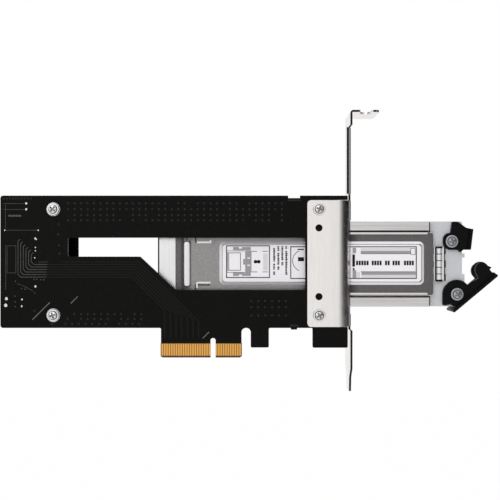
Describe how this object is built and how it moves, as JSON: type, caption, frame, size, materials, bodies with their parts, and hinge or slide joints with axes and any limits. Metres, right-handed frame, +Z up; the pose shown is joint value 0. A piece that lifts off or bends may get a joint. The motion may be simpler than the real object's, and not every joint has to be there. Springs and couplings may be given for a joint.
{
  "type": "nvme adapter card",
  "caption": "Expansion card with a slot bracket and a sliding metal tray for a solid-state drive, pulled part way out, with a fold-out ejector lever and a release latch.",
  "frame": {"origin": "on the key notch of the edge contacts, at the middle of the board's thickness and at the contacts' bottom edge", "axes": "+X out of the computer through the slot bracket, +Z up away from the slot, -Y out of the board's solder side"},
  "size_m": [0.2123, 0.0207, 0.12],
  "materials": {
    "black_solder_mask": "satin",
    "gold": "polished",
    "zinc_steel": "satin",
    "screw_steel": "satin",
    "black_plastic": "matte",
    "tinned": "satin",
    "ceramic": "matte",
    "silver_aluminium": "brushed",
    "grey_cover": "satin",
    "label_silver": "satin",
    "soft_pad": "matte",
    "grey_plastic": "matte",
    "black_lever": "matte"
  },
  "bodies": {
    "card": {"circuit_board": "black_solder_mask", "edge_contacts": "gold", "slot_bracket": "zinc_steel", "bracket_screws": "screw_steel", "frame_screws": "screw_steel", "bridge_screws": "screw_steel", "upper_guide_rail": "black_plastic", "lower_guide_rail": "black_plastic", "end_bridge": "black_plastic", "drive_socket": "black_plastic", "socket_legs": "tinned", "coupler_capacitors": "ceramic", "supply_capacitors": "ceramic"},
    "tray": {"tray_base": "silver_aluminium", "tray_end_shield": "silver_aluminium", "tray_cover": "grey_cover", "cover_label": "label_silver", "thermal_pad": "soft_pad", "cover_hinge_pin": "screw_steel", "front_plate": "grey_plastic", "drive_standoff": "gold", "lever_screw": "screw_steel", "latch_screw": "screw_steel", "latch_spring": "screw_steel"},
    "lever": {"ejector_lever": "black_lever"},
    "latch": {"release_latch": "black_lever"}
  },
  "joints": [
    {"name": "tray_slide", "type": "slide", "parent": "card", "child": "tray", "axis": [1, 0, 0], "range_m": [-0.049, 0.082]},
    {"name": "lever_hinge", "type": "hinge", "parent": "tray", "child": "lever", "pos_m": [0.1047, 0, 0.02665], "axis": [0, -1, 0], "range_deg": [0, 50.1]},
    {"name": "latch_hinge", "type": "hinge", "parent": "tray", "child": "latch", "pos_m": [0.10245, 0, 0.0494], "axis": [0, -1, 0], "range_deg": [0, 10], "stiffness_Nm_per_rad": 0.02, "springref_deg": -5.73}
  ]
}
